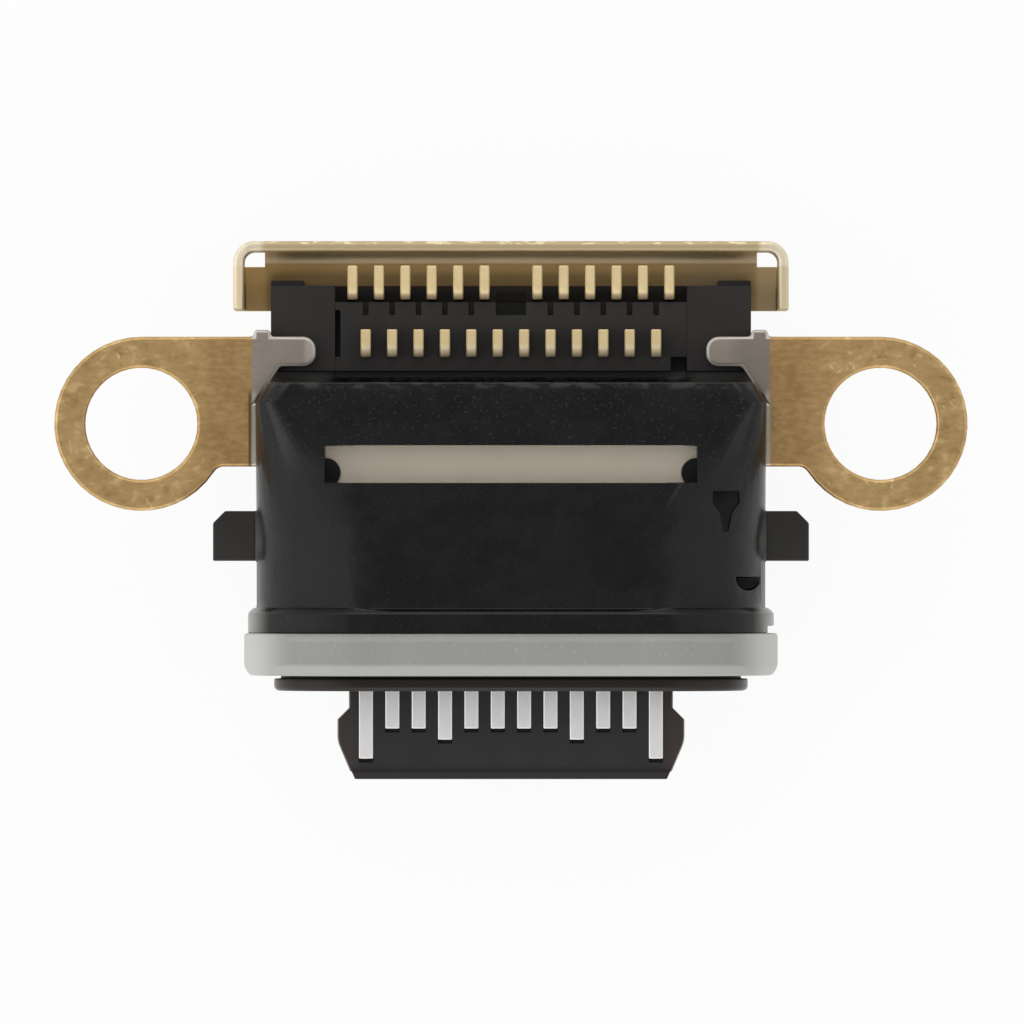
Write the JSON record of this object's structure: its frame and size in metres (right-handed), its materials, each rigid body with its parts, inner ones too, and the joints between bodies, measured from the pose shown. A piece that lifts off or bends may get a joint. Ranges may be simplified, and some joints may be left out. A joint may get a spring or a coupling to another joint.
{
  "type": "charging port",
  "caption": "Sealed reversible charging port with screw ears, round-ended nose with a grey gasket, padded tongue and rows of solder tails behind a folded shield.",
  "frame": {"origin": "midway between the two ear holes, on the ears' upper face, which is the solder plane", "axes": "+X across the width to the right ear, +Y back to the solder tails, +Z out of the ears' upper face to the board"},
  "size_m": [0.0172, 0.0102, 0.0043],
  "materials": {
    "housing_plastic": "black moulded, faint flow marks",
    "shell_steel": "drawn stainless",
    "gasket_silicone": "smooth grey silicone",
    "ear_gold": "thin gold plate with scuffs, bare near the block",
    "shield_gold": "thin gold plate on folded sheet",
    "carrier_plastic": "black moulded, satin",
    "tongue_plastic": "black moulded, satin",
    "plate_steel": "stamped stainless",
    "contact_gold": "gold plated, bright at pads and tails",
    "seal_compound": "cured black sealing compound"
  },
  "bodies": {
    "root": {"outer_housing": "housing_plastic", "inner_shell": "shell_steel", "gasket": "gasket_silicone", "left_ear": "ear_gold", "right_ear": "ear_gold", "rear_shield": "shield_gold", "lower_contact_carrier": "carrier_plastic", "upper_contact_carrier": "carrier_plastic", "tongue": "tongue_plastic", "mid_plate": "plate_steel", "upper_ground_plate": "plate_steel", "lower_ground_plate": "plate_steel", "rear_seal": "seal_compound", "contact_a1": "contact_gold", "contact_a2": "contact_gold", "contact_a3": "contact_gold", "contact_a4": "contact_gold", "contact_a5": "contact_gold", "contact_a6": "contact_gold", "contact_a7": "contact_gold", "contact_a8": "contact_gold", "contact_a9": "contact_gold", "contact_a10": "contact_gold", "contact_a11": "contact_gold", "contact_a12": "contact_gold", "contact_b1": "contact_gold", "contact_b2": "contact_gold", "contact_b3": "contact_gold", "contact_b4": "contact_gold", "contact_b5": "contact_gold", "contact_b6": "contact_gold", "contact_b7": "contact_gold", "contact_b8": "contact_gold", "contact_b9": "contact_gold", "contact_b10": "contact_gold", "contact_b11": "contact_gold", "contact_b12": "contact_gold"}
  },
  "joints": []
}
